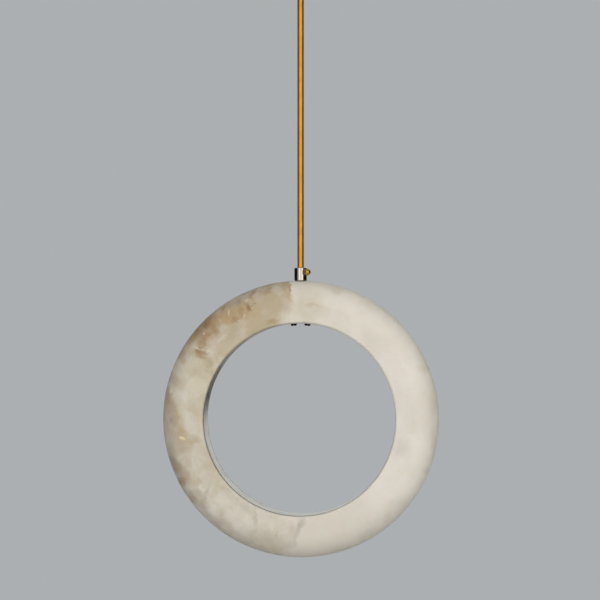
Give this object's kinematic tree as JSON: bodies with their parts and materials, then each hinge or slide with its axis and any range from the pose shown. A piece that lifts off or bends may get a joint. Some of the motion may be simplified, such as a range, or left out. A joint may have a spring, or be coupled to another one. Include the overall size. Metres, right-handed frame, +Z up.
{
  "type": "pendant light",
  "caption": "Pendant light: a hollow alabaster ring with a light channel behind an inner metal hoop, hung on a textile cord between two cord grips from a round ceiling rose.",
  "frame": {"origin": "on the ceiling plane, at the middle of the crossbar, midway between its two slots", "axes": "+Z up into the ceiling; the ring's own axis runs along Y, with its front face towards -Y; +X to the right seen from the front"},
  "size_m": [0.2999, 0.11, 0.667],
  "materials": {
    "alabaster": "honed alabaster with warm and grey veining",
    "satin_hoop": "satin anodised",
    "nickel": "polished nickel plate",
    "brass": "polished brass",
    "gold_cord": "woven textile sleeve, satin",
    "steel": "zinc-plated steel",
    "nylon": "natural nylon",
    "fibre": "fibre washer",
    "white_plastic": "moulded, matt",
    "foam": "closed-cell foam tape",
    "circuit_board": "lacquered board",
    "light_tape": "white flexible circuit",
    "chips": "phosphor-filled silicone",
    "resistor_black": "black",
    "seal_black": "black silicone",
    "lead_red": "PVC wire",
    "lead_brown": "PVC wire",
    "lead_green": "PVC wire"
  },
  "bodies": {
    "root": {"crossbar": "steel", "canopy": "nickel", "canopy_screws": "brass", "canopy_nipple": "steel", "canopy_washer": "steel", "canopy_lock_nut": "steel", "driver_case": "white_plastic", "driver_lid": "white_plastic", "driver_board": "circuit_board", "driver_foam_pad": "foam", "terminal_block": "white_plastic", "terminal_screws": "brass", "terminal_foam_pad": "foam", "earth_screw": "brass", "earth_lug": "steel", "earth_lead": "lead_green", "mains_leads": "lead_brown", "output_leads": "lead_red", "upper_grip": "nickel", "cord_upper_tail": "gold_cord"},
    "upper_tip": {"upper_clamp_tip": "nylon"},
    "upper_screw": {"upper_thumb_screw": "brass"},
    "cord_upper": {"cord_upper_bend": "gold_cord"},
    "cord_middle": {"cord_drop": "gold_cord"},
    "cord_lower": {"cord_lower_bend": "gold_cord"},
    "grip": {"lower_grip": "nickel", "cord_lower_tail": "gold_cord", "ring_nipple": "steel", "ring_lock_nut": "steel", "seat_washer": "fibre"},
    "lower_tip": {"lower_clamp_tip": "nylon"},
    "lower_screw": {"lower_thumb_screw": "brass"},
    "ring": {"alabaster_ring": "alabaster", "saddle_washer": "steel", "hanger_bracket": "steel", "inner_hoop": "satin_hoop", "hoop_seals": "seal_black", "hoop_screws": "steel", "led_tape": "light_tape", "led_chips": "chips", "tape_resistors": "resistor_black", "tape_leads": "lead_red"}
  },
  "joints": [
    {"name": "swing_front_back", "type": "hinge", "parent": "root", "child": "cord_upper", "pos_m": [0, 0, -0.056], "axis": [1, 0, 0], "range_deg": [-30, 30]},
    {"name": "swing_left_right", "type": "hinge", "parent": "cord_upper", "child": "cord_middle", "pos_m": [0, 0, -0.096], "axis": [0, 1, 0], "range_deg": [-30, 30]},
    {"name": "tilt_front_back", "type": "hinge", "parent": "cord_middle", "child": "cord_lower", "pos_m": [0, 0, -0.309], "axis": [1, 0, 0], "range_deg": [-25, 25]},
    {"name": "tilt_left_right", "type": "hinge", "parent": "cord_lower", "child": "grip", "pos_m": [0, 0, -0.349], "axis": [0, 1, 0], "range_deg": [-25, 25]},
    {"name": "ring_turn", "type": "hinge", "parent": "grip", "child": "ring", "pos_m": [0, 0, -0.367], "axis": [0, 0, 1], "range_deg": [-180, 180]},
    {"name": "upper_tip_travel", "type": "slide", "parent": "root", "child": "upper_tip", "axis": [0.7071, -0.7071, 0], "range_m": [0, 0.0014]},
    {"name": "upper_screw_turn", "type": "hinge", "parent": "upper_tip", "child": "upper_screw", "pos_m": [0, 0, -0.0472], "axis": [0.7071, -0.7071, 0], "range_deg": [0, 720]},
    {"name": "lower_tip_travel", "type": "slide", "parent": "grip", "child": "lower_tip", "axis": [0.7071, -0.7071, 0], "range_m": [0, 0.0014]},
    {"name": "lower_screw_turn", "type": "hinge", "parent": "lower_tip", "child": "lower_screw", "pos_m": [0, 0, -0.3578], "axis": [0.7071, -0.7071, 0], "range_deg": [0, 720]}
  ],
  "couplings": [
    {"joint": "upper_screw_turn", "follows": "upper_tip_travel", "rad_per_m": 8976},
    {"joint": "lower_screw_turn", "follows": "lower_tip_travel", "rad_per_m": 8976}
  ]
}
